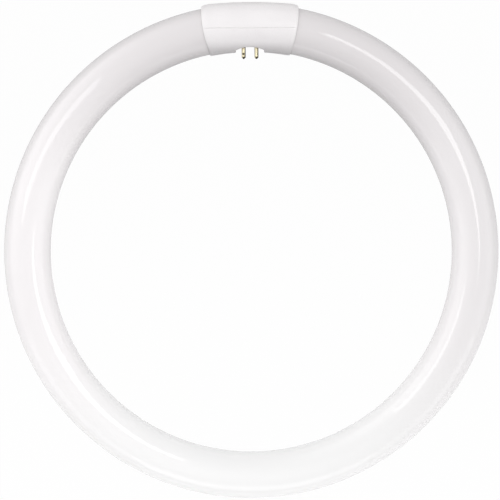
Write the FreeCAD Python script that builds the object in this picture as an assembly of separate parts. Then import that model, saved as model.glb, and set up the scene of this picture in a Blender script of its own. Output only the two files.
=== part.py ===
import FreeCAD, Part
import math
import os

# Circular fluorescent tube: a sealed glass ring whose two ends meet in a four-pin base cap.
# Millimetres. The origin is the centre of the ring, +Z is the axis of the ring, and +Y points from
# the centre to the middle of the cap, so that the contact pins point along -Y.

Vector = FreeCAD.Vector
ORIGIN = Vector(0, 0, 0)
RING_AXIS = Vector(0, 0, 1)
PIN_AXIS = Vector(0, -1, 0)

# Glass ring
ring_outer_diameter = 305.0
tube_diameter = 28.6
shoulder_radius = 3.0

# Stem: the funnel that closes each end of the glass, with its sealed exhaust tip
stem_mouth_diameter = 18.0
stem_floor_diameter = 10.0
stem_depth = 9.0
exhaust_tip_diameter = 3.6
exhaust_tip_length = 6.0
exhaust_point_length = 2.0
exhaust_point_diameter = 1.2

# Base cap: two moulded halves around the ends of the glass
cap_length = 55.0
cap_wall = 0.75
cap_clearance = 0.15
cap_back_radius = 300.0
cap_end_bulge = 1.6
cap_rim_run = 1.8
cap_rim_drop = 0.5
seam_drop = 2.4
seam_chamfer = 0.25
socket_end_clearance = 1.0
chamber_step = 0.7

# Lips inside the outer half, front and rear, that centre the inner half
lip_length = 16.0
lip_thickness = 0.8
lip_height = 2.0
lip_clearance = 0.1

# Pin seat: the recess in the inner half that the lampholder's face enters
seat_length = 17.0
seat_width = 18.0
seat_corner_radius = 4.0
seat_depth = 5.0
seat_floor = 2.0
seat_wall = 1.2
seat_to_glass = 0.3

# Contact pins: four pins riveted into the floor of the seat, each with a bore in its head for a lead
pin_diameter = 2.4
pin_length = 9.0
pin_spacing_along = 7.92
pin_spacing_across = 6.35
pin_taper_length = 1.5
pin_nose_diameter = 1.0
pin_shank_diameter = 2.0
pin_neck_length = 0.4
pin_bore_diameter = 1.2
pin_bore_depth = 2.0
pin_head_diameter = 3.6
pin_head_height = 0.5
mark_distance = 5.8
mark_depth = 0.3
mark_diameter = 1.2

# Lead wires from the stems into the heads of the pins
lead_diameter = 0.8
lead_bend_radius = 2.0
lead_seal_depth = 3.0
lead_end_clearance = 0.3

# Sizes that follow
tube_radius = tube_diameter / 2
ring_radius = ring_outer_diameter / 2 - tube_radius
seat_reach = seat_length / 2 + seat_wall
end_angle = math.asin((seat_reach + seat_to_glass) / (ring_radius - tube_radius))
cap_angle = cap_length / 2 / ring_radius
socket_angle = (end_angle + cap_angle) / 2
socket_half_length = ring_radius * math.tan(cap_angle - socket_angle)
socket_rise = ring_radius - ring_radius * math.cos(cap_angle - socket_angle)
socket_radius = tube_radius + cap_clearance + socket_rise / 2
cap_radius = socket_radius + cap_wall
chamber_radius = tube_radius - chamber_step
chamber_height = ring_radius * (1 + math.cos(end_angle)) / 2
seam_height = ring_radius - seam_drop
seat_floor_height = ring_radius - cap_radius + seat_depth
seat_inner_height = seat_floor_height + seat_floor
clear_of_cap = 2 * cap_radius

SIDES = {"left": -1, "right": 1}
FACES = {"front": 1, "rear": -1}


def ring_point(angle):
    """Point of the ring's centre line, at an angle in radians from the middle of the cap."""
    return Vector(ring_radius * math.sin(angle), ring_radius * math.cos(angle), 0)


def ring_arc(section_radius, start, end):
    """Round bar along the ring's centre line, between two angles from the middle of the cap."""
    sweep = math.degrees(end - start)
    bar = Part.makeTorus(ring_radius, section_radius, ORIGIN, RING_AXIS, 0, 360, sweep)
    bar.rotate(ORIGIN, RING_AXIS, 90 - math.degrees(end))
    return bar


def slab(low, high):
    """Block across the whole cap between two heights along Y."""
    size = 2 * clear_of_cap + cap_length
    return Part.makeBox(size, high - low, size, Vector(-size / 2, low, -size / 2))


def end_frame(side):
    """Middle of one end face of the glass, and the direction from there into the gap."""
    middle = ring_point(side * end_angle)
    into_gap = Vector(-side * math.cos(end_angle), math.sin(end_angle), 0)
    return middle, into_gap


def lead_wire(side, face):
    """Wire out of the press of one stem, round a bend and into the head of its contact pin."""
    middle, into_gap = end_frame(side)
    middle.z = face * pin_spacing_across / 2
    pin_place = side * pin_spacing_along / 2
    start = middle - into_gap * (stem_depth + lead_seal_depth)
    corner = middle + into_gap * ((middle.x - pin_place) / -into_gap.x)
    lowest = seat_inner_height + pin_head_height - pin_bore_depth + lead_end_clearance
    end = Vector(corner.x, lowest, corner.z)
    turn = into_gap.getAngle(PIN_AXIS)
    setback = lead_bend_radius * math.tan(turn / 2)
    bend_start = corner - into_gap * setback
    bend_end = corner + PIN_AXIS * setback
    inward = PIN_AXIS - into_gap
    inward.normalize()
    bend_middle = corner + inward * (lead_bend_radius / math.cos(turn / 2) - lead_bend_radius)
    path = Part.Wire([
        Part.LineSegment(start, bend_start).toShape(),
        Part.Arc(bend_start, bend_middle, bend_end).toShape(),
        Part.LineSegment(bend_end, end).toShape(),
    ])
    section = Part.Wire(Part.makeCircle(lead_diameter / 2, start, into_gap))
    return path.makePipeShell([section], True, True)


def glass_tube(leads):
    """Sealed glass ring with rounded ends, a stem in each end and the leads sealed into them."""
    glass = ring_arc(tube_radius, end_angle, 2 * math.pi - end_angle)
    rims = [edge for edge in glass.Edges if edge.isClosed() and abs(edge.CenterOfMass.y) > ring_radius / 2]
    end_rims = [edge for edge in rims if edge.Length < 2.1 * math.pi * tube_radius]
    glass = glass.makeFillet(shoulder_radius, end_rims)
    for side in SIDES.values():
        middle, into_gap = end_frame(side)
        mouth = stem_mouth_diameter / 2
        floor = stem_floor_diameter / 2
        glass = glass.cut(Part.makeCone(mouth, floor, stem_depth, middle, -into_gap))
        tip_radius = exhaust_tip_diameter / 2
        root = middle - into_gap * (stem_depth + lead_seal_depth)
        reach = lead_seal_depth + exhaust_tip_length - exhaust_point_length
        tip = Part.makeCylinder(tip_radius, reach, root, into_gap)
        point_end = exhaust_point_diameter / 2
        point = Part.makeCone(tip_radius, point_end, exhaust_point_length, root + into_gap * reach, into_gap)
        glass = glass.fuse(tip.fuse(point))
    return glass.removeSplitter().cut(leads)


def end_trim(side):
    """Upright cylinder whose wall is the slightly bulging end of the cap on one side."""
    angle = side * cap_angle
    outward = Vector(side * math.cos(angle), -side * math.sin(angle), 0)
    radius = (cap_radius ** 2 + cap_end_bulge ** 2) / (2 * cap_end_bulge)
    centre = ring_point(angle) + outward * (cap_end_bulge - radius)
    base = centre - RING_AXIS * clear_of_cap
    return Part.makeCylinder(radius, 2 * clear_of_cap, base, RING_AXIS)


def cap_form(curve_radius):
    """Outer form of the cap: a round bar bent to a radius, ended by the two bulging ends."""
    centre = Vector(0, ring_radius - curve_radius, 0)
    form = Part.makeTorus(curve_radius, cap_radius, centre, RING_AXIS)
    form = form.common(end_trim(-1)).common(end_trim(1))
    ends = [face for face in form.Faces if isinstance(face.Surface, Part.Cylinder)]
    rims = [edge for face in ends for edge in face.Edges]
    return form.makeChamfer(cap_rim_run, cap_rim_drop, rims)


def cap_hollow():
    """Inside of the cap: a straight socket for each end of the glass, and the chamber between them."""
    chamber_half = ring_point(end_angle).x + shoulder_radius
    chamber_foot = Vector(-chamber_half, chamber_height, 0)
    hollow = Part.makeCylinder(chamber_radius, 2 * chamber_half, chamber_foot, Vector(1, 0, 0))
    for side in SIDES.values():
        angle = side * socket_angle
        outward = Vector(side * math.cos(angle), -side * math.sin(angle), 0)
        inward = Vector(math.sin(angle), math.cos(angle), 0) * (socket_rise / 2)
        start = ring_point(angle) - inward - outward * (socket_half_length + socket_end_clearance)
        hollow = hollow.fuse(Part.makeCylinder(socket_radius, cap_length, start, outward))
    return hollow


def locating_lips():
    """Lips that carry on from the wall of the outer half into the inner half, front and rear."""
    lips = []
    tip_drop = chamber_height - seam_height + lip_height
    outside = math.sqrt(chamber_radius ** 2 - tip_drop ** 2) - lip_clearance
    inside = outside - lip_thickness
    root = chamber_radius + cap_wall
    for face in FACES.values():
        tongue = Part.makeBox(lip_length, 2 * lip_height, outside - inside)
        tongue.translate(Vector(-lip_length / 2, seam_height - lip_height, inside))
        foot = Part.makeBox(lip_length, lip_height, root - inside)
        foot.translate(Vector(-lip_length / 2, seam_height, inside))
        lip = tongue.fuse(foot)
        if face < 0:
            lip = lip.mirror(ORIGIN, RING_AXIS)
        lips.append(lip)
    return lips


def seam_edges(half):
    """Long outer edges of one half of the cap, front and rear, along the seam."""
    found = []
    for edge in half.Edges:
        middle = edge.CenterOfMass
        on_seam = abs(middle.y - seam_height) < cap_clearance / 100
        if on_seam and edge.Length > cap_length / 2 and abs(middle.z) > socket_radius + cap_wall / 2:
            found.append(edge)
    return found


def cap_outer_half():
    """Half of the cap on the outside of the ring, with a flatter back than the ring."""
    above = slab(seam_height, seam_height + clear_of_cap)
    half = cap_form(cap_back_radius - cap_radius).common(above)
    half = half.makeChamfer(seam_chamfer, seam_edges(half))
    return half.cut(cap_hollow()).fuse(locating_lips()).removeSplitter()


def seat_block(margin, top):
    """Block with rounded corners, along the pins, from outside the cap up to a height."""
    length = seat_length + 2 * margin
    width = seat_width + 2 * margin
    low = ring_radius - clear_of_cap
    block = Part.makeBox(length, top - low, width, Vector(-length / 2, low, -width / 2))
    corners = [edge for edge in block.Edges if abs(edge.tangentAt(edge.FirstParameter).y) > 0.5]
    return block.makeFillet(seat_corner_radius + margin, corners)


def cap_inner_half():
    """Half of the cap on the inside of the ring, with the recessed seat that carries the pins."""
    below = slab(seam_height - clear_of_cap, seam_height)
    form = cap_form(ring_radius).common(below)
    form = form.makeChamfer(seam_chamfer, seam_edges(form))
    half = form.cut(cap_hollow())
    half = half.fuse(form.common(seat_block(seat_wall, seat_inner_height)))
    half = half.cut(seat_block(0, seat_floor_height))
    for side in SIDES.values():
        for face in FACES.values():
            foot = Vector(side * pin_spacing_along / 2, seat_inner_height, face * pin_spacing_across / 2)
            half = half.cut(Part.makeCylinder(pin_shank_diameter / 2, seat_floor + seat_depth, foot, PIN_AXIS))
    return half.removeSplitter()


def contact_pin(side, face):
    """Pin with a tapered nose, a thinner riveted shank with a bored head, and one punch mark."""
    radius = pin_diameter / 2
    shank = pin_shank_diameter / 2
    bore = pin_bore_diameter / 2
    head = pin_head_diameter / 2
    nose = pin_nose_diameter / 2
    head_top = seat_floor + pin_head_height
    bore_end = head_top - pin_bore_depth
    corners = [
        Vector(0, bore_end, 0),
        Vector(bore, bore_end, 0),
        Vector(bore, head_top, 0),
        Vector(head, head_top, 0),
        Vector(head, seat_floor, 0),
        Vector(shank, seat_floor, 0),
        Vector(shank, -pin_neck_length, 0),
        Vector(radius, -pin_neck_length, 0),
        Vector(radius, pin_taper_length - pin_length, 0),
        Vector(nose, -pin_length, 0),
        Vector(0, -pin_length, 0),
    ]
    outline = Part.makePolygon(corners + corners[:1])
    pin = Part.Face(outline).revolve(ORIGIN, PIN_AXIS, 360)
    inwards = Vector(0, 0, -face)
    punch_start = Vector(0, -mark_distance, face * (radius + mark_depth))
    pin = pin.cut(Part.makeCone(mark_diameter, 0, 2 * mark_depth, punch_start, inwards))
    pin.translate(Vector(side * pin_spacing_along / 2, seat_floor_height, face * pin_spacing_across / 2))
    return pin


def build():
    """All pieces by node name."""
    pieces = {}
    leads = []
    for side_name, side in SIDES.items():
        for face_name, face in FACES.items():
            place = side_name + "_" + face_name
            lead = lead_wire(side, face)
            leads.append(lead)
            pieces["lead_wire_" + place] = lead
            pieces["contact_pin_" + place] = contact_pin(side, face)
    pieces["glass_tube"] = glass_tube(leads)
    pieces["cap_outer_half"] = cap_outer_half()
    pieces["cap_inner_half"] = cap_inner_half()
    return pieces


os.makedirs("parts", exist_ok=True)
for name, shape in build().items():
    shape.exportStep(os.path.join("parts", name + ".step"))
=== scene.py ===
"""Ring lamp: the dressed pieces, finishes and studio of a circular fluorescent tube.

Lengths are metres in the part's own frame: the origin is the centre of the ring, +Z is the axis of the
ring, and +Y points from the centre to the middle of the base cap, so the contact pins point along -Y.
"""

import logging
import math
from collections.abc import Sequence
from dataclasses import dataclass, field
from enum import Enum
from typing import TypeAlias

import bmesh
import bpy
from mathutils import Matrix, Vector


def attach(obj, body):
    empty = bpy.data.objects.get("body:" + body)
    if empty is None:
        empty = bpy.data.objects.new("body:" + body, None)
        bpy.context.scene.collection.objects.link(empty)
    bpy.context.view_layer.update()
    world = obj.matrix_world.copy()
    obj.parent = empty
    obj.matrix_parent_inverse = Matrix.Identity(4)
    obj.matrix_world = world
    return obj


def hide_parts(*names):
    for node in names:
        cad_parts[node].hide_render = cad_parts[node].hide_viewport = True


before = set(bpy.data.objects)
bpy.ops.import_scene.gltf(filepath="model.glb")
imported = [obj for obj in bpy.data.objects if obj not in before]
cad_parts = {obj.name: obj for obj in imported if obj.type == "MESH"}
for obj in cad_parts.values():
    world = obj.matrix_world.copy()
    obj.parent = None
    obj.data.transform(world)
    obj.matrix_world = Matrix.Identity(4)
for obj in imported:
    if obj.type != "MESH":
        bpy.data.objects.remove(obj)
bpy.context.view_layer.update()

LOG = logging.getLogger("ring_lamp")
BODY = "root"
MM = 0.001
QUARTER = math.pi / 2
IMAGE_SIDE = 500
RING_RADIUS = 138.2 * MM
CAP_RADIUS = 15.32 * MM
PIN_SPACING = 7.92 * MM
SHARP_ANGLE = math.radians(38.0)
AXIS_RADIUS = 1e-6
WELD_DISTANCE = 5e-6
NOISE_MIDDLE = 0.5

Colour: TypeAlias = tuple[float, float, float, float]
Socket: TypeAlias = bpy.types.NodeSocket
Feed: TypeAlias = float | int | str | tuple[float, ...] | bpy.types.NodeSocket
Inputs: TypeAlias = dict[str | int, Feed]
Loop: TypeAlias = list[Vector]
Faces: TypeAlias = list[list[int]]
Point: TypeAlias = tuple[float, float]
Place: TypeAlias = tuple[float, float, float]
Span: TypeAlias = tuple[float, float]

WHITE: Colour = (1.0, 1.0, 1.0, 1.0)
RISING: Span = (0.0, 1.0)
FALLING: Span = (1.0, 0.0)
NOISE_BODY: Span = (0.3, 0.7)


class Side(Enum):
    """Left and right of the cap's middle, as seen from the front."""

    LEFT = -1
    RIGHT = 1


class Face(Enum):
    """Front and rear of the lamp: towards the viewer and away."""

    FRONT = 1
    REAR = -1


class HalfKind(Enum):
    """The two moulded halves of the base cap."""

    OUTER = "cap_outer_half"
    INNER = "cap_inner_half"


class Slot(Enum):
    """Material slots of the record."""

    GLASS = "coated_glass"
    CAP = "cap_plastic"
    PIN = "pin_brass"
    LEAD = "lead_metal"


def corner_names(stem: str) -> list[str]:
    """Names of the four like nodes at the corners of the pin seat."""
    return [f"{stem}_{side.name.lower()}_{face.name.lower()}" for side in Side for face in Face]


def placed(name: str, data: bpy.types.ID) -> bpy.types.Object:
    """Puts a new object in the scene.

    Args:
        name: Name of the object.
        data: Its mesh, light or camera.

    Returns:
        The object.
    """
    made = bpy.data.objects.new(name, data)
    bpy.context.scene.collection.objects.link(made)
    return made


def spread(start: float, end: float, steps: int) -> list[float]:
    """Evenly spread numbers from start to end, both included."""
    return [start + (end - start) * step / steps for step in range(steps + 1)]


def arc(centre: Point, radius: float, start: float, end: float, steps: int) -> list[Point]:
    """Points of an arc in the plane.

    Args:
        centre: Centre of the arc.
        radius: Radius of the arc.
        start: First angle, in radians.
        end: Last angle, in radians.
        steps: Number of steps between them.

    Returns:
        The points from start to end.
    """
    x, y = centre
    turns = spread(start, end, steps)
    return [(x + radius * math.cos(turn), y + radius * math.sin(turn)) for turn in turns]


def beside(corner: Point, offsets: Sequence[Point]) -> list[Point]:
    """Points that break a corner, each by its offset in millimetres."""
    return [(corner[0] + out * MM, corner[1] + along * MM) for out, along in offsets]


class NodeCanvas:
    """Short calls that build one node tree."""

    def __init__(self, tree: bpy.types.NodeTree) -> None:
        """Empties the tree and keeps it."""
        tree.nodes.clear()
        self.tree = tree

    def feed(self, socket: Socket, value: Feed) -> None:
        """Links another socket into this one, or sets a plain value on it.

        Args:
            socket: The input to feed.
            value: A socket to link or a value to set.
        """
        if isinstance(value, bpy.types.NodeSocket):
            self.tree.links.new(value, socket)
        else:
            socket.default_value = value

    def node(self, kind: str, inputs: Inputs | None = None, **settings: object) -> bpy.types.Node:
        """Adds one node.

        Args:
            kind: Blender's name for the type of node.
            inputs: Values or sockets by the input's name or number.
            settings: Properties of the node itself, set before its inputs.

        Returns:
            The new node.
        """
        made = self.tree.nodes.new(kind)
        for name, value in settings.items():
            setattr(made, name, value)
        for name, value in (inputs or {}).items():
            self.feed(made.inputs[name], value)
        return made

    def result(self, kind: str, inputs: Inputs | None = None, **settings: object) -> Socket:
        """Adds one node, as node does, and returns its first output."""
        return self.node(kind, inputs, **settings).outputs[0]

    def math(self, operation: str, *values: Feed) -> Socket:
        """Adds a Math node and returns its result."""
        return self.result("ShaderNodeMath", dict(enumerate(values)), operation=operation)

    def parts(self, vector: Socket) -> tuple[Socket, Socket, Socket]:
        """Splits a vector into its three coordinates."""
        split = self.node("ShaderNodeSeparateXYZ", {0: vector})
        return split.outputs[0], split.outputs[1], split.outputs[2]

    def joined(self, x: Feed, y: Feed, z: Feed) -> Socket:
        """Makes a vector of three coordinates."""
        return self.result("ShaderNodeCombineXYZ", {0: x, 1: y, 2: z})

    def hypot(self, first: Socket, second: Socket) -> Socket:
        """Length of the line whose runs along two axes are given."""
        square = self.math("MULTIPLY", second, second)
        return self.math("SQRT", self.math("MULTIPLY_ADD", first, first, square))

    def ranged(self, value: Feed, source: Span, result: Span = RISING) -> Socket:
        """Maps a value smoothly from one span to another, and holds it beyond.

        Args:
            value: The value to map.
            source: Values that give the first and the last result.
            result: The first and the last result.

        Returns:
            The mapped value.
        """
        ends = {"From Min": source[0], "From Max": source[1], "To Min": result[0], "To Max": result[1]}
        inputs = {"Value": value, **ends}
        return self.result("ShaderNodeMapRange", inputs, interpolation_type="SMOOTHSTEP")


class FinishCanvas(NodeCanvas):
    """Canvas of one material, which reads Object coordinates."""

    def __init__(self, name: str) -> None:
        """Makes the material and empties its tree.

        Args:
            name: Name of the material.
        """
        self.material = bpy.data.materials.new(name)
        self.material.use_nodes = True
        super().__init__(self.material.node_tree)
        self.place = self.node("ShaderNodeTexCoord").outputs["Object"]

    def noise(self, cells: Place, detail: float) -> Socket:
        """Noise with so many cells a metre along each axis."""
        place = self.result("ShaderNodeMapping", {"Vector": self.place, "Scale": cells})
        return self.result("ShaderNodeTexNoise", {"Vector": place, "Scale": 1.0, "Detail": detail})

    def even_noise(self, cells: float, detail: float) -> Socket:
        """Noise with the same number of cells a metre along every axis."""
        return self.noise((cells, cells, cells), detail)

    def blend(self, share: Feed, first: Colour | Socket, second: Colour | Socket) -> Socket:
        """Mixes two colours: the first at share 0, the second at share 1."""
        return self.node("ShaderNodeMix", {0: share, 6: first, 7: second}, data_type="RGBA").outputs[2]

    def bump(self, height: Socket, strength: float, distance: float) -> Socket:
        """Normal of a surface that a height pattern raises by up to a distance."""
        inputs = {"Height": height, "Strength": strength, "Distance": distance}
        return self.result("ShaderNodeBump", inputs)

    def close(self, inputs: Inputs) -> bpy.types.Material:
        """Ends the tree in a Principled surface.

        Args:
            inputs: Values or sockets of that surface.

        Returns:
            The finished material.
        """
        surface = self.result("ShaderNodeBsdfPrincipled", inputs)
        self.node("ShaderNodeOutputMaterial", {"Surface": surface})
        return self.material


@dataclass(frozen=True)
class CoatedGlassFinish:
    """Clear glossy glass with a white powder coating on its inside."""

    powder: Colour = (0.911, 0.885, 0.893, 1.0)
    thin_powder: Colour = (0.900, 0.874, 0.882, 1.0)
    painted_light_far_tone: Colour = (0.940, 0.937, 0.937, 1.0)
    painted_shade_end_tone: Colour = (0.796, 0.766, 0.775, 1.0)
    painted_light_far_span: Span = (-0.25, -1.0)
    painted_shade_end_span: Span = (0.25, 1.0)
    cloud_cells: float = 24.0
    cloud_span: Span = (0.35, 0.65)
    grain_cells: float = 1400.0
    roughness: Span = (0.5, 0.62)
    powder_specular: float = 0.2
    glass_roughness: float = 0.05
    glass_ior: float = 1.5
    wave_cells: float = 9.0
    wave_strength: float = 0.25
    wave_height: float = 1.5 * MM

    def make(self) -> bpy.types.Material:
        """Cloudy powder under wavy glass, with painted shade greying the half towards the cap's ends
        and painted light whitening the side opposite them.

        Returns:
            The material.
        """
        canvas = FinishCanvas(Slot.GLASS.value)
        cloud = canvas.ranged(canvas.even_noise(self.cloud_cells, detail=4.0), self.cloud_span)
        grain = canvas.even_noise(self.grain_cells, detail=3.0)
        powder = canvas.blend(cloud, self.powder, self.thin_powder)
        x, y, _ = canvas.parts(canvas.place)
        towards_cap = canvas.math("DIVIDE", y, canvas.hypot(x, y))
        # Painted light and shade: the base colour is whitened on the side opposite the cap and greyed
        # towards the cap, standing in for how the light falls.
        painted_light_far_share = canvas.ranged(towards_cap, self.painted_light_far_span)
        painted_shade_end_share = canvas.ranged(towards_cap, self.painted_shade_end_span)
        tone = canvas.blend(painted_shade_end_share, canvas.blend(painted_light_far_share, powder, self.painted_light_far_tone), self.painted_shade_end_tone)
        ripple = canvas.even_noise(self.wave_cells, detail=1.0)
        wave = canvas.bump(ripple, self.wave_strength, self.wave_height)
        return canvas.close({
            "Base Color": tone,
            "Roughness": canvas.ranged(grain, NOISE_BODY, self.roughness),
            "Normal": wave,
            "Coat Weight": 1.0,
            "Coat Roughness": self.glass_roughness,
            "Coat IOR": self.glass_ior,
            "Coat Normal": wave,
            "Specular IOR Level": self.powder_specular,
        })


@dataclass(frozen=True)
class CapPlasticFinish:
    """White moulded plastic with a fine satin grain, with painted shade greying its inner edge.

    The painted shade span is that edge, as distances from the ring's centre along Y.
    """

    pale: Colour = (0.928, 0.902, 0.911, 1.0)
    dull: Colour = (0.908, 0.882, 0.891, 1.0)
    painted_shade_edge: Colour = (0.750, 0.725, 0.734, 1.0)
    painted_shade_edge_span: Span = (122.5 * MM, 129.0 * MM)
    cloud_cells: float = 70.0
    cloud_span: Span = (0.35, 0.7)
    grain_cells: float = 2600.0
    grain_strength: float = 0.12
    grain_height: float = 0.05 * MM
    roughness: Span = (0.26, 0.38)
    specular: float = 0.5

    def make(self) -> bpy.types.Material:
        """Faintly uneven white, greyed by painted shade at the inner edge, with grain in gloss and
        surface.

        Returns:
            The material.
        """
        canvas = FinishCanvas(Slot.CAP.value)
        cloud = canvas.ranged(canvas.even_noise(self.cloud_cells, detail=5.0), self.cloud_span)
        grain = canvas.even_noise(self.grain_cells, detail=2.0)
        _, y, _ = canvas.parts(canvas.place)
        # Painted shade: the base colour greys towards the inner edge round the pin seat.
        painted_shade_edge = canvas.ranged(y, self.painted_shade_edge_span, FALLING)
        clean = canvas.blend(cloud, self.pale, self.dull)
        return canvas.close({
            "Base Color": canvas.blend(painted_shade_edge, clean, self.painted_shade_edge),
            "Roughness": canvas.ranged(grain, NOISE_BODY, self.roughness),
            "Normal": canvas.bump(grain, self.grain_strength, self.grain_height),
            "Specular IOR Level": self.specular,
        })


@dataclass(frozen=True)
class PinBrassFinish:
    """Pale drawn brass, brown at the noses and in punch marks, with painted shade darkening one flank
    and the root.

    The spans of nose and root and the place of the spot are distances from the ring's centre along Y.
    """

    brass: Colour = (0.80, 0.73, 0.52, 1.0)
    worn: Colour = (0.66, 0.58, 0.37, 1.0)
    brown_and_painted_shade: Colour = (0.020, 0.014, 0.007, 1.0)
    brown_and_painted_shade_gloss: Colour = (0.12, 0.09, 0.06, 1.0)
    nose_span: Span = (119.35 * MM, 119.50 * MM)
    painted_shade_root_span: Span = (125.2 * MM, 125.6 * MM)
    half_spacing: float = PIN_SPACING / 2
    painted_shade_flank_span: Span = (0.3 * MM, 0.75 * MM)
    painted_shade_strength: Span = (0.0, 0.95)
    spot_aside: float = 0.3 * MM
    spot_place: float = 121.2 * MM
    spot_span: Span = (0.35 * MM, 0.68 * MM)
    stain_cells: float = 1500.0
    stain_reach: float = 0.15 * MM
    line_cells: Place = (9000.0, 220.0, 9000.0)
    line_strength: float = 0.15
    line_height: float = 0.02 * MM
    worn_span: Span = (0.35, 0.75)
    worn_share: Span = (0.0, 0.7)
    drawn_roughness: Span = (0.27, 0.42)
    brown_roughness: Span = (0.27, 0.5)

    def make(self) -> bpy.types.Material:
        """Drawing lines along the pins, a brown nose with an uneven edge, and painted shade that
        darkens and dulls one flank and the root.

        Returns:
            The material.
        """
        canvas = FinishCanvas(Slot.PIN.value)
        lines = canvas.noise(self.line_cells, detail=3.0)
        stain = canvas.math("SUBTRACT", canvas.even_noise(self.stain_cells, detail=3.0), NOISE_MIDDLE)
        x, y, _ = canvas.parts(canvas.place)
        edge = canvas.math("MULTIPLY_ADD", stain, self.stain_reach, y)
        nose = canvas.ranged(edge, self.nose_span, FALLING)
        # Painted shade: each pin's root and its flank on the +X side are browned and dulled, standing
        # in for shade.
        root = canvas.ranged(edge, self.painted_shade_root_span, self.painted_shade_strength)
        aside = canvas.math("MULTIPLY_ADD", canvas.math("SIGN", x), -self.half_spacing, x)
        painted_shade_flank = canvas.ranged(aside, self.painted_shade_flank_span, self.painted_shade_strength)
        across = canvas.math("ADD", aside, self.spot_aside)
        along = canvas.math("SUBTRACT", y, self.spot_place)
        # Darker brown round the punch mark on the left pins.
        punch_spot_share = canvas.ranged(canvas.hypot(across, along), self.spot_span, FALLING)
        spot = canvas.math("MULTIPLY", punch_spot_share, canvas.math("LESS_THAN", x, 0.0))
        ends = canvas.math("MAXIMUM", nose, root)
        # The brown mask joins the brown nose and punch spot with the painted shade of flank and root.
        brown_and_painted_shade = canvas.math("MAXIMUM", ends, canvas.math("MAXIMUM", painted_shade_flank, spot))
        matt = canvas.ranged(brown_and_painted_shade, RISING, self.brown_roughness)
        drawn = canvas.ranged(lines, NOISE_BODY, self.drawn_roughness)
        wear = canvas.ranged(lines, self.worn_span, self.worn_share)
        metal = canvas.blend(wear, self.brass, self.worn)
        return canvas.close({
            "Base Color": canvas.blend(brown_and_painted_shade, metal, self.brown_and_painted_shade),
            "Specular Tint": canvas.blend(brown_and_painted_shade, WHITE, self.brown_and_painted_shade_gloss),
            "Metallic": 1.0,
            "Roughness": canvas.math("MAXIMUM", drawn, matt),
            "Normal": canvas.bump(lines, self.line_strength, self.line_height),
        })


@dataclass(frozen=True)
class LeadMetalFinish:
    """Plain grey wire, slightly oxidised."""

    bright: Colour = (0.62, 0.60, 0.57, 1.0)
    oxide: Colour = (0.34, 0.31, 0.28, 1.0)
    patch_cells: float = 900.0
    patch_span: Span = (0.4, 0.65)
    roughness: Span = (0.28, 0.5)

    def make(self) -> bpy.types.Material:
        """Grey metal with oxide patches.

        Returns:
            The material.
        """
        canvas = FinishCanvas(Slot.LEAD.value)
        patch = canvas.ranged(canvas.even_noise(self.patch_cells, detail=4.0), self.patch_span)
        return canvas.close({
            "Base Color": canvas.blend(patch, self.bright, self.oxide),
            "Metallic": 1.0,
            "Roughness": canvas.ranged(patch, RISING, self.roughness),
        })


class GeometryCanvas(NodeCanvas):
    """Canvas of one geometry tree with named inputs."""

    def __init__(self, name: str, inputs: dict[str, object]) -> None:
        """Makes the tree.

        Args:
            name: Name of the tree.
            inputs: Value of each named input: a float, an int or a material.
        """
        tree = bpy.data.node_groups.new(name, "GeometryNodeTree")
        super().__init__(tree)
        kinds = {float: "NodeSocketFloat", int: "NodeSocketInt"}
        tree.interface.new_socket("Geometry", in_out="INPUT", socket_type="NodeSocketGeometry")
        tree.interface.new_socket("Geometry", in_out="OUTPUT", socket_type="NodeSocketGeometry")
        self.values: dict[str, object] = {}
        for label, value in inputs.items():
            kind = kinds.get(type(value), "NodeSocketMaterial")
            made = tree.interface.new_socket(label, in_out="INPUT", socket_type=kind)
            self.values[made.identifier] = value
        self.given = self.node("NodeGroupInput").outputs

    def revolved(self, profile: Socket, sides: Socket) -> Socket:
        """Turns a chain of edges, X out from the axis and Y along it, round the Z axis.

        Args:
            profile: Geometry of the chain.
            sides: Number of faces round the axis.

        Returns:
            Geometry of the closed shape.
        """
        chain = self.result("GeometryNodeMeshToCurve", {"Mesh": profile})
        sizes = {"Resolution": sides, "Radius": AXIS_RADIUS}
        circle = self.result("GeometryNodeCurvePrimitiveCircle", sizes)
        skin = self.result("GeometryNodeCurveToMesh", {"Curve": circle, "Profile Curve": chain})
        inputs = {"Geometry": skin, "Distance": WELD_DISTANCE}
        return self.result("GeometryNodeMergeByDistance", inputs)

    def position(self) -> tuple[Socket, Socket, Socket]:
        """The three coordinates of each point."""
        return self.parts(self.result("GeometryNodeInputPosition"))

    def moved(self, geometry: Socket, position: Socket) -> Socket:
        """Puts every point of a geometry at a new position."""
        return self.result("GeometryNodeSetPosition", {"Geometry": geometry, "Position": position})

    def close(self, geometry: Socket, material: Socket) -> None:
        """Ends the tree: smooth shading, real instances, one material.

        Args:
            geometry: What the tree has built.
            material: Its finish.
        """
        smooth = self.result("GeometryNodeSetShadeSmooth", {"Geometry": geometry})
        real = self.result("GeometryNodeRealizeInstances", {"Geometry": smooth})
        inputs = {"Geometry": real, "Material": material}
        self.node("NodeGroupOutput", {0: self.result("GeometryNodeSetMaterial", inputs)})

    def run(self, name: str, chain: Sequence[Point]) -> bpy.types.Object:
        """Runs the tree once on a chain of edges.

        Args:
            name: Name of the finished object.
            chain: Points of the chain in the XY plane.

        Returns:
            Object with the result as a plain mesh.
        """
        source = bpy.data.meshes.new(name + "_chain")
        edges = [(spot, spot + 1) for spot in range(len(chain) - 1)]
        source.from_pydata([(x, y, 0.0) for x, y in chain], edges, [])
        made = placed(name, source)
        modifier = made.modifiers.new(self.tree.name, "NODES")
        modifier.node_group = self.tree
        for identifier, value in self.values.items():
            modifier[identifier] = value
        graph = bpy.context.evaluated_depsgraph_get()
        mesh = bpy.data.meshes.new_from_object(made.evaluated_get(graph))
        made.modifiers.clear()
        made.data = mesh
        mesh.name = name
        bpy.data.meshes.remove(source)
        return made


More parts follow.
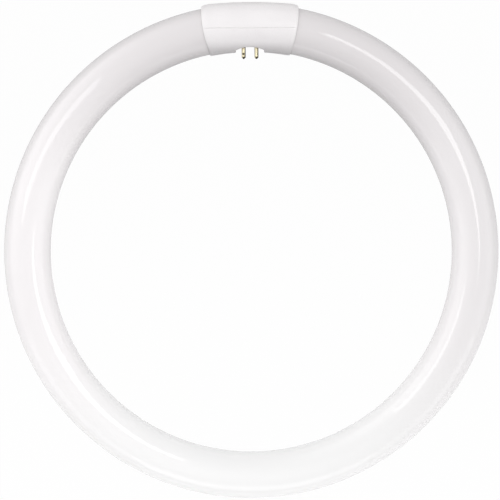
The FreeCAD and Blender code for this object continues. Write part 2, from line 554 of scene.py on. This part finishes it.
def finish_piece(piece: bpy.types.Object, nodes: Sequence[str]) -> None:
    """Hands a finished piece to the frame and reports it.

    Args:
        piece: The piece, in place.
        nodes: Nodes of the part that the piece stands for.
    """
    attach(piece, BODY)
    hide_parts(*nodes)
    LOG.info("%s: %d faces, for %s", piece.name, len(piece.data.polygons), ", ".join(nodes))


@dataclass
class GlassRing:
    """The sealed glass tube, bent to a ring, with a stem and an exhaust tip in each end.

    A corner is a list of offsets in millimetres that break or round an edge of the profile.
    """

    ring_radius: float = RING_RADIUS
    tube_radius: float = 14.3 * MM
    half_gap: float = 10.0 * MM
    shoulder_radius: float = 3.0 * MM
    shoulder_steps: int = 10
    mouth_radius: float = 9.0 * MM
    mouth_corner: tuple[Point, ...] = ((-0.32, 0.8), (0.0, 0.24), (0.48, 0.0))
    floor_radius: float = 5.0 * MM
    floor_corner: tuple[Point, ...] = ((-0.8, 0.0), (0.1, -0.5))
    stem_depth: float = 9.0 * MM
    tip_radius: float = 1.8 * MM
    tip_corner: tuple[Point, ...] = ((0.0, -0.8), (0.3, -0.2), (0.9, 0.0))
    tip_length: float = 6.0 * MM
    point_length: float = 2.0 * MM
    point_corner: tuple[Point, ...] = ((0.0, 0.0), (0.42, 0.1), (0.6, 0.4))
    steps_along: int = 420
    sides_around: int = 88

    def end_profile(self) -> list[Point]:
        """Half section of one end, from the exhaust tip out to the tube's wall.

        Returns:
            Points (distance from the tube's centre line, distance in from the end).
        """
        top = self.stem_depth - self.tip_length
        points = beside((0.0, top), self.point_corner)
        points.append((self.tip_radius, top + self.point_length))
        points += beside((self.tip_radius, self.stem_depth), self.tip_corner)
        points += beside((self.floor_radius, self.stem_depth), self.floor_corner)
        points += beside((self.mouth_radius, 0.0), self.mouth_corner)
        shoulder = (self.tube_radius - self.shoulder_radius, self.shoulder_radius)
        return points + arc(shoulder, self.shoulder_radius, -QUARTER, 0.0, self.shoulder_steps)

    def profile(self) -> list[Point]:
        """Half section of the straight tube, end to end, as it is before bending.

        Returns:
            Points (distance from the centre line, distance along it from the middle).
        """
        end_angle = math.asin(self.half_gap / (self.ring_radius - self.tube_radius))
        half = self.ring_radius * (math.pi - end_angle)
        first = [(out, inward - half) for out, inward in self.end_profile()]
        run = half - self.shoulder_radius
        middle = [(self.tube_radius, along) for along in spread(-run, run, self.steps_along)[1:-1]]
        last = [(out, -along) for out, along in reversed(first)]
        return first + middle + last

    def build(self, glass: bpy.types.Material) -> bpy.types.Object:
        """Turns the profile round its axis and bends it round the ring.

        Args:
            glass: Finish of the glass.

        Returns:
            The finished tube.
        """
        sizes = {"Ring Radius": self.ring_radius, "Sides Around": self.sides_around, "Glass": glass}
        canvas = GeometryCanvas("bend_glass_round_ring", sizes)
        given = canvas.given
        straight = canvas.revolved(given["Geometry"], given["Sides Around"])
        out, up, along = canvas.position()
        angle = canvas.math("DIVIDE", along, given["Ring Radius"])
        reach = canvas.math("ADD", given["Ring Radius"], out)
        down = canvas.math("MULTIPLY", reach, -1.0)
        x = canvas.math("MULTIPLY", reach, canvas.math("SINE", angle))
        y = canvas.math("MULTIPLY", down, canvas.math("COSINE", angle))
        bent = canvas.moved(straight, canvas.joined(x, y, canvas.math("MULTIPLY", up, -1.0)))
        canvas.close(bent, given["Glass"])
        return canvas.run("glass_ring", self.profile())

    def dress(self) -> None:
        """Builds the tube with its finish and hands it to the frame."""
        finish_piece(self.build(CoatedGlassFinish().make()), ["glass_tube"])


@dataclass(frozen=True)
class CapForm:
    """Form of one half of the cap: a bent round bar, cut by two bulging ends and the seam."""

    kind: HalfKind
    bend_radius: float
    bar_radius: float
    ring_radius: float = RING_RADIUS
    cap_radius: float = CAP_RADIUS
    cap_length: float = 54.6 * MM
    end_bulge: float = 1.6 * MM
    end_lean: float = 0.0175
    seam_drop: float = 2.4 * MM
    settle_steps: int = 6

    def end_turn(self, reach: float) -> float:
        """Angle from the middle of the cap to its end, on a circle about the bend's centre.

        Args:
            reach: Radius of that circle.

        Returns:
            The angle, in radians.
        """
        angle = self.cap_length / 2 / self.ring_radius
        end_radius = (self.cap_radius ** 2 + self.end_bulge ** 2) / (2 * self.end_bulge)
        back = self.end_bulge - end_radius
        centre_x = self.ring_radius * math.sin(angle) + back * math.cos(angle - self.end_lean)
        centre_y = self.ring_radius * math.cos(angle) - back * math.sin(angle - self.end_lean)
        rise = centre_y - (self.ring_radius - self.bend_radius)
        away = math.hypot(centre_x, rise)
        spread_cosine = (reach ** 2 + away ** 2 - end_radius ** 2) / (2 * reach * away)
        return math.atan2(centre_x, rise) + math.acos(max(-1.0, min(1.0, spread_cosine)))

    def seam_turn(self, bar: float, angle: float) -> float:
        """Angle round the bar's section, from the outside of the ring, at which the seam lies."""
        height = self.bend_radius - self.seam_drop
        return math.acos((height / math.cos(angle) - self.bend_radius) / bar)

    def point(self, along: float, around: float, depth: float) -> Vector:
        """Point of the form.

        Args:
            along: Place along the cap, from -1 at the left end to 1 at the right end.
            around: Place round the section, from -1 at the rear seam to 1 at the front seam.
            depth: Depth below the form's own skin.

        Returns:
            The point.
        """
        bar = self.bar_radius - depth
        outer = self.kind is HalfKind.OUTER
        turn = around * QUARTER if outer else math.pi - around * QUARTER
        angle = 0.0
        for _ in range(self.settle_steps):
            angle = along * self.end_turn(self.bend_radius + bar * math.cos(turn))
            seam = self.seam_turn(bar, angle)
            turn = around * seam if outer else math.pi - around * (math.pi - seam)
        reach = self.bend_radius + bar * math.cos(turn)
        centre = self.ring_radius - self.bend_radius
        return Vector((reach * math.sin(angle), centre + reach * math.cos(angle), bar * math.sin(turn)))

    def place_over(self, x: float, z: float) -> Point:
        """Place on the skin of the inner half that lies in line with the pins over a point.

        Args:
            x: Distance from the middle of the cap along it.
            z: Distance from the middle plane.

        Returns:
            The place along and around.
        """
        rise = math.asin(z / self.bar_radius)
        reach = self.bend_radius - self.bar_radius * math.cos(rise)
        angle = math.asin(x / reach)
        seam = math.pi - self.seam_turn(self.bar_radius, angle)
        return angle / self.end_turn(reach), rise / seam


def closed_mesh(name: str, loops: Sequence[Loop], first: Faces, last: Faces) -> bpy.types.Object:
    """Closed piece made of loops of points that follow one another.

    Args:
        name: Name of the piece.
        loops: Loops with the same number of points, each joined to the next by faces.
        first: Faces that close the first loop, as places in the loop.
        last: Faces that close the last loop, as places in the loop.

    Returns:
        The piece, smooth but for its sharp edges.
    """
    count = len(loops[0])
    faces = []
    for row in range(len(loops) - 1):
        near, far = row * count, (row + 1) * count
        for spot in range(count):
            after = (spot + 1) % count
            faces.append([near + spot, near + after, far + after, far + spot])
    top = (len(loops) - 1) * count
    faces += first
    faces += [[top + spot for spot in face] for face in last]
    mesh = bpy.data.meshes.new(name)
    mesh.from_pydata([point for loop in loops for point in loop], [], faces)
    shell = bmesh.new()
    shell.from_mesh(mesh)
    bmesh.ops.recalc_face_normals(shell, faces=shell.faces)
    shell.to_mesh(mesh)
    shell.free()
    mesh.shade_smooth()
    mesh.set_sharp_from_angle(angle=SHARP_ANGLE)
    return placed(name, mesh)


@dataclass
class BaseCap:
    """The two moulded halves that join round the ends of the glass, with the recessed pin seat."""

    ring_radius: float = RING_RADIUS
    cap_radius: float = CAP_RADIUS
    socket_radius: float = 14.57 * MM
    back_radius: float = 300.0 * MM
    half_length: float = 27.5 * MM
    half_arc: float = 24.0 * MM
    rim_run: float = 2.6 * MM
    rim_face: float = 0.14 * MM
    rim_least: float = 0.4
    corner_start: float = 0.8 * MM
    corner_run: float = 5.0 * MM
    corner_part: float = 0.4
    corner_power: float = 1.5
    seam_rounding: float = 0.3 * MM
    seam_depth: float = 0.48 * MM
    seat_half_length: float = 8.75 * MM
    seat_arch: float = 20.0 * MM
    seat_floor: float = 125.95 * MM
    seat_lean: float = 0.115
    seat_back: float = 129.88 * MM
    seat_wall: float = 1.0 * MM
    seat_rounding: float = 0.4 * MM
    seat_roll: float = 0.6 * MM
    floor_shares: Span = (0.04, 0.84)
    roll_shares: tuple[float, ...] = (1.0, 0.8, 0.6, 0.4, 0.2, 0.03)
    skin_shares: tuple[float, ...] = (0.85, 1.0)
    foot_rise: float = 0.02 * MM
    slack: float = 1e-6
    steps_along: int = 72
    steps_around: int = 56
    steps_side: int = 40
    steps_skin: int = 22
    steps_rounding: int = 5
    settle_steps: int = 12
    roundings: list[float] = field(init=False)

    def __post_init__(self) -> None:
        """Works out the angles of a rounded edge."""
        self.roundings = spread(0.0, QUARTER, self.steps_rounding)

    def rim_drop(self, form: CapForm, hollow: CapForm, around: float) -> float:
        """Most of the wall's thickness at the cap's ends, by which the rim may fall there."""
        thickness = (form.point(1.0, around, 0.0) - hollow.point(1.0, around, 0.0)).length
        return max(thickness - self.rim_face, self.rim_least * thickness)

    def gone(self, along: float, run: float) -> float:
        """How much of a run of the skin up to the cap's end lies behind a place, from 0 to 1."""
        start = 1 - run / self.half_length
        return max(0.0, (abs(along) - start) / (1 - start))

    def rolled(self, along: float) -> float:
        """Share of the rim's fall, 0 on the straight skin and 1 at the very end."""
        return 1 - math.sqrt(max(0.0, 1 - self.gone(along, self.rim_run) ** 2))

    def corner_share(self, along: float) -> float:
        """Share of the fall at the corners of the back, which starts before the rim's."""
        return self.gone(along, self.corner_run) ** self.corner_power

    def places_along(self) -> list[float]:
        """Places along the cap, close together where the rims roll off.

        Returns:
            The places, from -1 to 1.
        """
        start = 1 - self.rim_run / self.half_length
        turns = spread(0.0, QUARTER, 2 * self.steps_rounding)
        rim = [start + (1 - start) * math.sin(turn) for turn in turns]
        return [-place for place in reversed(rim)] + spread(-start, start, self.steps_along)[1:-1] + rim

    def outer_half(self) -> bpy.types.Object:
        """Half on the outside of the ring: a bent channel with rolled rims and rounded seam edges.

        Returns:
            The finished half.
        """
        form = CapForm(HalfKind.OUTER, self.back_radius - self.cap_radius, self.cap_radius)
        hollow = CapForm(HalfKind.OUTER, self.ring_radius, self.socket_radius)
        edge = self.seam_rounding / self.half_arc
        rear = []
        for turn in reversed(self.roundings):
            rear.append((edge * (1 - math.sin(turn)) - 1, self.seam_depth * (1 - math.cos(turn))))
        skin = [(around, 0.0) for around in spread(edge - 1, 1 - edge, self.steps_around)[1:-1]]
        front = [(-around, sunk) for around, sunk in reversed(rear)]
        places = self.places_along()
        loops = []
        for around, sunk in rear + skin + front:
            drop = self.rim_drop(form, hollow, around)
            # The wall is thicker at the corners of the back, which also fall away, but more slowly.
            rim = min(drop, self.corner_start)
            corner = self.corner_part * (drop - rim)
            loop = []
            for along in places:
                fall = rim * self.rolled(along) + corner * self.corner_share(along)
                loop.append(form.point(along, around, max(fall, sunk)))
            loop += [hollow.point(along, around, 0.0) for along in reversed(places)]
            loops.append(loop)
        count = len(places)
        last = 2 * count - 1
        ends = [[spot, spot + 1, last - 1 - spot, last - spot] for spot in range(count - 1)]
        return closed_mesh(HalfKind.OUTER.value + "_shell", loops, ends, ends)

    def square_walk(self) -> list[Point]:
        """Walks round the edge of the inner half, from the left rear corner.

        Returns:
            The places along and around.
        """
        corners = [(-1.0, -1.0), (1.0, -1.0), (1.0, 1.0), (-1.0, 1.0), (-1.0, -1.0)]
        walk = []
        for (x, z), (next_x, next_z) in zip(corners, corners[1:]):
            shares = spread(0.0, 1.0, self.steps_side)[:-1]
            walk += [(x + (next_x - x) * share, z + (next_z - z) * share) for share in shares]
        return walk

    def seat_height(self, x: float, z: float) -> float:
        """Height of the arched and leaning floor of the seat over a point (x, z)."""
        sag = self.seat_arch - math.sqrt(self.seat_arch ** 2 - min(self.seat_half_length, abs(x)) ** 2)
        return self.seat_floor - sag - self.seat_lean * z

    def seat_edge(self, x: float, face: Face) -> float:
        """Distance from the middle plane at which the floor of the seat runs out on the skin.

        Args:
            x: Distance from the middle of the cap along it.
            face: Front or rear of the lamp.

        Returns:
            The distance.
        """
        edge = 0.0
        for _ in range(self.settle_steps):
            sunk = self.ring_radius - math.hypot(x, self.seat_height(x, face.value * edge))
            edge = math.sqrt(self.cap_radius ** 2 - sunk ** 2)
        return edge

    def skin_height(self, x: float, z: float) -> float:
        """Height of the cap's skin over a point, as if it had no seat."""
        reach = self.ring_radius - math.sqrt(self.cap_radius ** 2 - z ** 2)
        return math.sqrt(reach ** 2 - x ** 2)

    def seat_walk(self, margin: float) -> list[Point]:
        """Outline of the pin seat, in step with the walk round the edge.

        Args:
            margin: How far outside the seat's own outline the walk goes.

        Returns:
            Points (x, z) from the left rear corner.
        """
        walk = []
        for along, around in self.square_walk():
            face = Face.FRONT if around > 0 else Face.REAR
            edge = self.seat_edge(along * self.seat_half_length, face)
            walk.append((along * (self.seat_half_length + margin), around * (edge + margin)))
        return walk

    def cut_height(self, x: float, z: float) -> float:
        """Height of the skin with the pin seat cut into it, its edges rolled and its sides walled.

        Args:
            x: Distance from the middle of the cap along it.
            z: Distance from the middle plane.

        Returns:
            The height over the centre of the ring.
        """
        floor, skin = self.seat_height(x, z), self.skin_height(x, z)
        share = x / self.seat_half_length
        roll = self.seat_rounding / 2 + self.seat_roll * max(0.0, 1 - share ** 2)
        # A rounded maximum: the floor and the skin run into each other over the roll.
        height = max(floor, skin) + roll * max(0.0, 1 - abs(floor - skin) / roll) ** 2 / 4
        beyond = (abs(x) - self.seat_half_length) / self.seat_rounding
        if beyond < -self.slack:
            return height
        left = min(1.0, max(0.0, 1 - beyond))
        return min(height, skin + self.seat_rounding * (1 - math.sqrt(1 - left ** 2)))

    def seat_loops(self) -> list[Loop]:
        """Loops of the pin seat, from the middle of its arched floor to the plain skin round it.

        Returns:
            The loops, from the middle outwards.
        """
        inside = self.seat_walk(-self.seat_roll)
        loops = []
        for share in spread(*self.floor_shares, self.steps_rounding):
            walk = [(x * share, z * share) for x, z in inside]
            loops.append([Vector((x, self.seat_height(x, z), z)) for x, z in walk])
        margins = [-self.seat_roll * share for share in self.roll_shares]
        margins += [self.seat_rounding * (1 - math.cos(angle)) for angle in self.roundings]
        margins += [self.seat_roll * share for share in self.skin_shares]
        for margin in margins:
            loops.append([Vector((x, self.cut_height(x, z), z)) for x, z in self.seat_walk(margin)])
        return loops

    def skin_loops(self, form: CapForm, hollow: CapForm) -> list[Loop]:
        """Loops over the outer skin of the inner half, from the pin seat to its rounded edge.

        Args:
            form: Outer form of the inner half.
            hollow: Form of its hollow.

        Returns:
            The loops, from the seat outwards.
        """
        inside = [form.place_over(x, z) for x, z in self.seat_walk(self.seat_roll)]
        edge = self.seam_rounding / self.half_arc
        rim = self.rim_run / self.half_length
        shares = spread(0.0, 1.0, self.steps_skin)[1:]
        steps = [(share, 1 - rim, 1 - edge, 0.0) for share in shares]
        for angle in spread(0.0, QUARTER, 2 * self.steps_rounding)[1:]:
            left, sunk = 1 - math.sin(angle), self.seam_depth * (1 - math.cos(angle))
            steps.append((1.0, 1 - rim * left, 1 - edge * left, sunk))
        loops = []
        for share, limit_along, limit_around, sunk in steps:
            loop = []
            for (along, around), (end_along, end_around) in zip(inside, self.square_walk()):
                place = along + (end_along * limit_along - along) * share
                turn = around + (end_around * limit_around - around) * share
                drop = self.rim_drop(form, hollow, turn) * self.rolled(place)
                at_seam = abs(end_around) == 1.0
                loop.append(form.point(place, turn, max(drop, sunk) if at_seam else drop))
            loops.append(loop)
        return loops

    def hollow_loops(self, hollow: CapForm) -> list[Loop]:
        """Loops over the hollow of the inner half, from its edge to the foot of the pin seat.

        Args:
            hollow: Form of the hollow.

        Returns:
            The loops, from the edge inwards.
        """
        inside = [hollow.place_over(x, z) for x, z in self.seat_walk(self.seat_wall)]
        loops = []
        for share in spread(1.0, 0.0, self.steps_skin // 2):
            loop = []
            for (along, around), (end_along, end_around) in zip(inside, self.square_walk()):
                place = along + (end_along - along) * share
                loop.append(hollow.point(place, around + (end_around - around) * share, 0.0))
            loops.append(loop)
        return loops

    def inner_half(self) -> bpy.types.Object:
        """Half on the inside of the ring, with the seat that carries the pins.

        Returns:
            The finished half.
        """
        form = CapForm(HalfKind.INNER, self.ring_radius, self.cap_radius)
        hollow = CapForm(HalfKind.INNER, self.ring_radius, self.socket_radius)
        loops = self.seat_loops() + self.skin_loops(form, hollow) + self.hollow_loops(hollow)
        foot = loops[-1]
        backs = [max(self.seat_back, point.y + self.foot_rise) for point in foot]
        loops.append([Vector((point.x, back, point.z)) for point, back in zip(foot, backs)])
        whole = [list(range(len(foot)))]
        return closed_mesh(HalfKind.INNER.value + "_shell", loops, whole, whole)

    def dress(self) -> None:
        """Builds both halves with their finish and hands them to the frame."""
        plastic = CapPlasticFinish().make()
        for kind, half in ((HalfKind.OUTER, self.outer_half()), (HalfKind.INNER, self.inner_half())):
            half.data.materials.append(plastic)
            finish_piece(half, [kind.value])


@dataclass
class ContactPins:
    """Four brass pins on the floor of the seat, each with a tapered nose and a punch mark.

    A corner is a list of offsets in millimetres that break or round an edge of the profile.
    """

    spacing_along: float = PIN_SPACING
    spacing_across: float = 6.35 * MM
    floor: float = 127.88 * MM
    radius: float = 1.2 * MM
    length: float = 9.0 * MM
    taper: float = 0.95 * MM
    nose_radius: float = 0.4 * MM
    taper_rounding: float = 0.15 * MM
    taper_corner: tuple[Point, ...] = ((-0.03, 0.1),)
    nose_rounding: float = 0.2 * MM
    nose_steps: int = 6
    shank_radius: float = 1.0 * MM
    neck: float = 0.4 * MM
    neck_rounding: float = 0.08 * MM
    head_radius: float = 1.8 * MM
    head_height: float = 0.5 * MM
    head_floor: float = 2.0 * MM
    head_corner: tuple[Point, ...] = ((-0.15, 0.0), (0.0, 0.15))
    bore_radius: float = 0.6 * MM
    bore_depth: float = 2.0 * MM
    bore_corner: tuple[Point, ...] = ((0.0, 0.1), (0.1, 0.0))
    mark_distance: float = 6.7 * MM
    mark_radius: float = 0.75 * MM
    mark_depth: float = 0.32 * MM
    mark_slope: Span = (0.35, 1.0)
    right_turn: float = 0.9
    body_steps: int = 60
    sides_around: int = 56

    def profile(self) -> list[Point]:
        """Half section of one pin, from its bored head to its nose.

        Returns:
            Points (distance from the pin's axis, distance out of the seat's floor).
        """
        top, shoulder = -self.head_floor - self.head_height, self.length - self.taper
        bottom = top + self.bore_depth
        points = [(0.0, bottom), (self.bore_radius, bottom)]
        points += beside((self.bore_radius, top), self.bore_corner)
        points += beside((self.head_radius, top), self.head_corner)
        points += [(self.head_radius, -self.head_floor), (self.shank_radius, -self.head_floor)]
        points += [(self.shank_radius, self.neck), (self.radius - self.neck_rounding, self.neck)]
        body = spread(self.neck + self.neck_rounding, shoulder - self.taper_rounding, self.body_steps)
        points += [(self.radius, out) for out in body]
        points += beside((self.radius, shoulder), self.taper_corner)
        lean = math.atan2(self.radius - self.nose_radius, self.taper)
        nose = (self.nose_radius - self.nose_rounding, self.length - self.nose_rounding)
        points += arc(nose, self.nose_rounding, lean, QUARTER, self.nose_steps)
        return points + [(0.0, self.length)]

    def build(self, brass: bpy.types.Material) -> bpy.types.Object:
        """Turns one pin, presses its mark and sets it on the four places of the seat.

        Args:
            brass: Finish of the pins.

        Returns:
            The four pins as one piece.
        """
        canvas = GeometryCanvas("set_pins_on_seat", {
            "Spacing Along": self.spacing_along,
            "Spacing Across": self.spacing_across,
            "Seat Floor": self.floor,
            "Mark Distance": self.mark_distance,
            "Mark Radius": self.mark_radius,
            "Mark Depth": self.mark_depth,
            "Right Turn": self.right_turn,
            "Sides Around": self.sides_around,
            "Brass": brass,
        })
        given = canvas.given
        turned = canvas.revolved(given["Geometry"], given["Sides Around"])
        x, z, out = canvas.position()
        mirrored = canvas.moved(turned, canvas.joined(x, out, z))
        upright = canvas.result("GeometryNodeFlipFaces", {"Mesh": mirrored})
        x, y, z = canvas.position()
        away = canvas.hypot(x, canvas.math("ADD", y, given["Mark Distance"]))
        away = canvas.math("DIVIDE", away, given["Mark Radius"])
        share = canvas.ranged(away, self.mark_slope, FALLING)
        facing = canvas.math("GREATER_THAN", z, 0.0)
        sunk = canvas.math("MULTIPLY", canvas.math("MULTIPLY", share, facing), given["Mark Depth"])
        pressed = canvas.moved(upright, canvas.joined(x, y, canvas.math("SUBTRACT", z, sunk)))
        grid = canvas.result("GeometryNodeMeshGrid", {
            "Size X": given["Spacing Along"],
            "Size Y": given["Spacing Across"],
            "Vertices X": 2,
            "Vertices Y": 2,
        })
        x, y, _ = canvas.position()
        places = canvas.moved(grid, canvas.joined(x, given["Seat Floor"], y))
        x, _, z = canvas.position()
        rear = canvas.math("MULTIPLY", canvas.math("LESS_THAN", z, 0.0), math.pi)
        right = canvas.math("MULTIPLY", canvas.math("GREATER_THAN", x, 0.0), given["Right Turn"])
        angles = canvas.joined(0.0, canvas.math("ADD", rear, right), 0.0)
        rotation = canvas.result("FunctionNodeEulerToRotation", {0: angles})
        inputs = {"Points": places, "Instance": pressed, "Rotation": rotation}
        canvas.close(canvas.result("GeometryNodeInstanceOnPoints", inputs), given["Brass"])
        pins = canvas.run("contact_pins", self.profile())
        pins.data.set_sharp_from_angle(angle=SHARP_ANGLE)
        return pins

    def dress(self) -> None:
        """Builds the pins with their finish and hands them to the frame."""
        finish_piece(self.build(PinBrassFinish().make()), corner_names("contact_pin"))


@dataclass
class LeadWires:
    """The four wires from the stems to the pins, inside the cap."""

    def dress(self) -> None:
        """Gives the frame's own wires their finish."""
        metal = LeadMetalFinish().make()
        for name in corner_names("lead_wire"):
            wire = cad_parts[name]
            wire.data.materials.clear()
            wire.data.materials.append(metal)
            LOG.info("%s: frame's own shape, dressed", name)


@dataclass(frozen=True)
class Lamp:
    """One soft studio lamp: a glowing strip between two points."""

    name: str
    start: Place
    end: Place
    breadth: float
    aim: Place
    radiance: float

    def build(self) -> None:
        """Hangs the strip and turns it about its length to face its aim."""
        start, end = Vector(self.start), Vector(self.end)
        along = (end - start).normalized()
        middle = (start + end) / 2
        facing = Vector(self.aim) - middle
        back = (along * facing.dot(along) - facing).normalized()
        light = bpy.data.lights.new(self.name, "AREA")
        light.shape = "RECTANGLE"
        light.size = (end - start).length
        light.size_y = self.breadth
        light.energy = self.radiance * math.pi * light.size * light.size_y
        turn = Matrix((along, back.cross(along), back)).transposed()
        placed(self.name, light).matrix_world = Matrix.Translation(middle) @ turn.to_4x4()


@dataclass(frozen=True)
class SkyPatch:
    """One soft bright part of the studio's walls and ceiling."""

    azimuth: float
    elevation: float
    strength: float

    def way(self) -> Vector:
        """Direction of the patch.

        Returns:
            The unit vector from the lamp to the patch.
        """
        turn, rise = math.radians(self.azimuth), math.radians(self.elevation)
        level = math.cos(rise)
        return Vector((level * math.cos(turn), level * math.sin(turn), math.sin(rise)))


@dataclass
class Studio:
    """Pale floor, soft light and the camera that looks down on the lamp."""

    floor_half: float = 3.0
    floor_middle: float = -14.8 * MM
    floor_slope: float = -1.0 * MM / (2 * RING_RADIUS)
    paper_near: Colour = (0.62, 0.62, 0.62, 1.0)
    paper_far: Colour = (0.17, 0.17, 0.17, 1.0)
    paper_span: Span = (-0.13, 0.10)
    fibre_cells: float = 600.0
    fibre_reach: Span = (-4.0 * MM, 4.0 * MM)
    floor_glow: float = 0.985
    sheen: Span = (0.42, 0.5)
    sky_focus: float = 6.0
    camera_height: float = 1.1
    camera_x: float = -0.77 * MM
    camera_y: float = 0.56 * MM
    camera_roll: float = math.radians(-0.35)
    focal_pixels: float = 1781.0
    sensor: float = 36.0
    lamps: list[Lamp] = field(default_factory=lambda: [
        Lamp("strip_right", (0.35, 0.10, 0.54), (0.24, 0.70, 1.80), 0.36, (0.0, 0.0, 0.0), 3.5),
        Lamp("strip_left", (-0.15, 0.17, 0.36), (-0.52, 0.10, 0.62), 0.16, (0.0, 0.0, 0.0), 2.3),
        Lamp("card_low", (-0.2, -0.36, 0.10), (0.2, -0.36, 0.10), 0.12, (0.0, -0.14, 0.0), 1.5),
        Lamp("card_low_left", (-0.36, -0.14, 0.10), (-0.2, -0.36, 0.10), 0.12, (-0.1, -0.1, 0.0), 0.73),
        Lamp("card_low_right", (0.36, -0.14, 0.10), (0.2, -0.36, 0.10), 0.12, (0.1, -0.1, 0.0), 0.8),
    ])
    sky: list[SkyPatch] = field(default_factory=lambda: [SkyPatch(*row) for row in (
        (0.0, 12.0, 1.32), (45.0, 12.0, 0.60), (135.0, 12.0, 1.85), (180.0, 12.0, 1.10),
        (225.0, 12.0, 0.45), (320.0, 12.0, 0.36), (325.0, 50.0, 0.37), (0.0, 48.0, 0.34),
        (90.0, 48.0, 0.08), (140.0, 48.0, 0.17), (180.0, 48.0, 0.36), (0.0, 90.0, 0.23),
    )])

    def build_floor(self) -> None:
        """Lays the floor under the cap and the far side of the ring, which both touch it."""
        half = self.floor_half
        corners = [(-half, -half), (half, -half), (half, half), (-half, half)]
        mesh = bpy.data.meshes.new("floor")
        points = [(x, y, self.floor_middle + self.floor_slope * y) for x, y in corners]
        mesh.from_pydata(points, [], [(0, 1, 2, 3)])
        floor = placed("floor", mesh)
        mesh.materials.append(self.floor_finish())

    def floor_finish(self) -> bpy.types.Material:
        """Paper that is white to the eye, keeps a faint shadow, and darkens towards the cap's side.

        Returns:
            The material.
        """
        canvas = FinishCanvas("floor_paper")
        _, y, _ = canvas.parts(canvas.place)
        fibre = canvas.even_noise(self.fibre_cells, detail=3.0)
        ragged = canvas.math("ADD", y, canvas.ranged(fibre, NOISE_BODY, self.fibre_reach))
        share = canvas.ranged(ragged, self.paper_span)
        paper = canvas.blend(share, self.paper_near, self.paper_far)
        path = canvas.node("ShaderNodeLightPath").outputs
        matt = canvas.result("ShaderNodeBsdfDiffuse", {"Color": paper})
        gloss = canvas.ranged(share, RISING, self.sheen)
        sheen = canvas.math("MULTIPLY", path["Is Glossy Ray"], gloss)
        mirrored = canvas.result("ShaderNodeEmission", {"Color": WHITE, "Strength": sheen})
        lit = canvas.result("ShaderNodeAddShader", {0: matt, 1: mirrored})
        white = canvas.result("ShaderNodeEmission", {"Color": WHITE, "Strength": 1.0})
        seen = canvas.math("MULTIPLY", path["Is Camera Ray"], self.floor_glow)
        mixed = canvas.result("ShaderNodeMixShader", {0: seen, 1: lit, 2: white})
        canvas.node("ShaderNodeOutputMaterial", {"Surface": mixed})
        return canvas.material

    def build_sky(self) -> None:
        """Lights the room by its bright patches, with a white backdrop behind the floor."""
        world = bpy.data.worlds.new("studio_sky")
        world.use_nodes = True
        canvas = NodeCanvas(world.node_tree)
        way = canvas.node("ShaderNodeTexCoord").outputs["Generated"]
        light: Feed = 0.0
        for patch in self.sky:
            inputs = {0: way, 1: tuple(patch.way())}
            near = canvas.node("ShaderNodeVectorMath", inputs, operation="DOT_PRODUCT").outputs["Value"]
            lobe = canvas.math("POWER", canvas.math("MAXIMUM", near, 0.0), self.sky_focus)
            light = canvas.math("MULTIPLY_ADD", lobe, patch.strength, light)
        seen = canvas.node("ShaderNodeLightPath").outputs["Is Camera Ray"]
        strength = canvas.math("MAXIMUM", seen, light)
        sky = canvas.result("ShaderNodeBackground", {"Color": WHITE, "Strength": strength})
        canvas.node("ShaderNodeOutputWorld", {"Surface": sky})
        bpy.context.scene.world = world

    def build_camera(self) -> None:
        """Sets the camera straight above the ring, with the cap at the top of the picture."""
        lens = bpy.data.cameras.new("camera")
        lens.sensor_width = self.sensor
        lens.lens = self.focal_pixels * self.sensor / IMAGE_SIDE
        camera = placed("camera", lens)
        camera.location = (self.camera_x, self.camera_y, self.camera_height)
        camera.rotation_euler = (0.0, 0.0, self.camera_roll)
        bpy.context.scene.camera = camera

    def build(self) -> None:
        """Sets up the whole studio."""
        bpy.context.scene.view_settings.view_transform = "Standard"
        self.build_floor()
        self.build_sky()
        self.build_camera()
        for lamp in self.lamps:
            lamp.build()
        LOG.info("studio: floor, sky, camera and %d lamps", len(self.lamps))


def main() -> None:
    """Builds the lamp piece by piece, then the studio."""
    logging.basicConfig(level=logging.INFO, format="%(name)s %(message)s")
    for assembly in (GlassRing(), BaseCap(), ContactPins(), LeadWires()):
        assembly.dress()
    Studio().build()


if __name__ == "__main__":
    main()
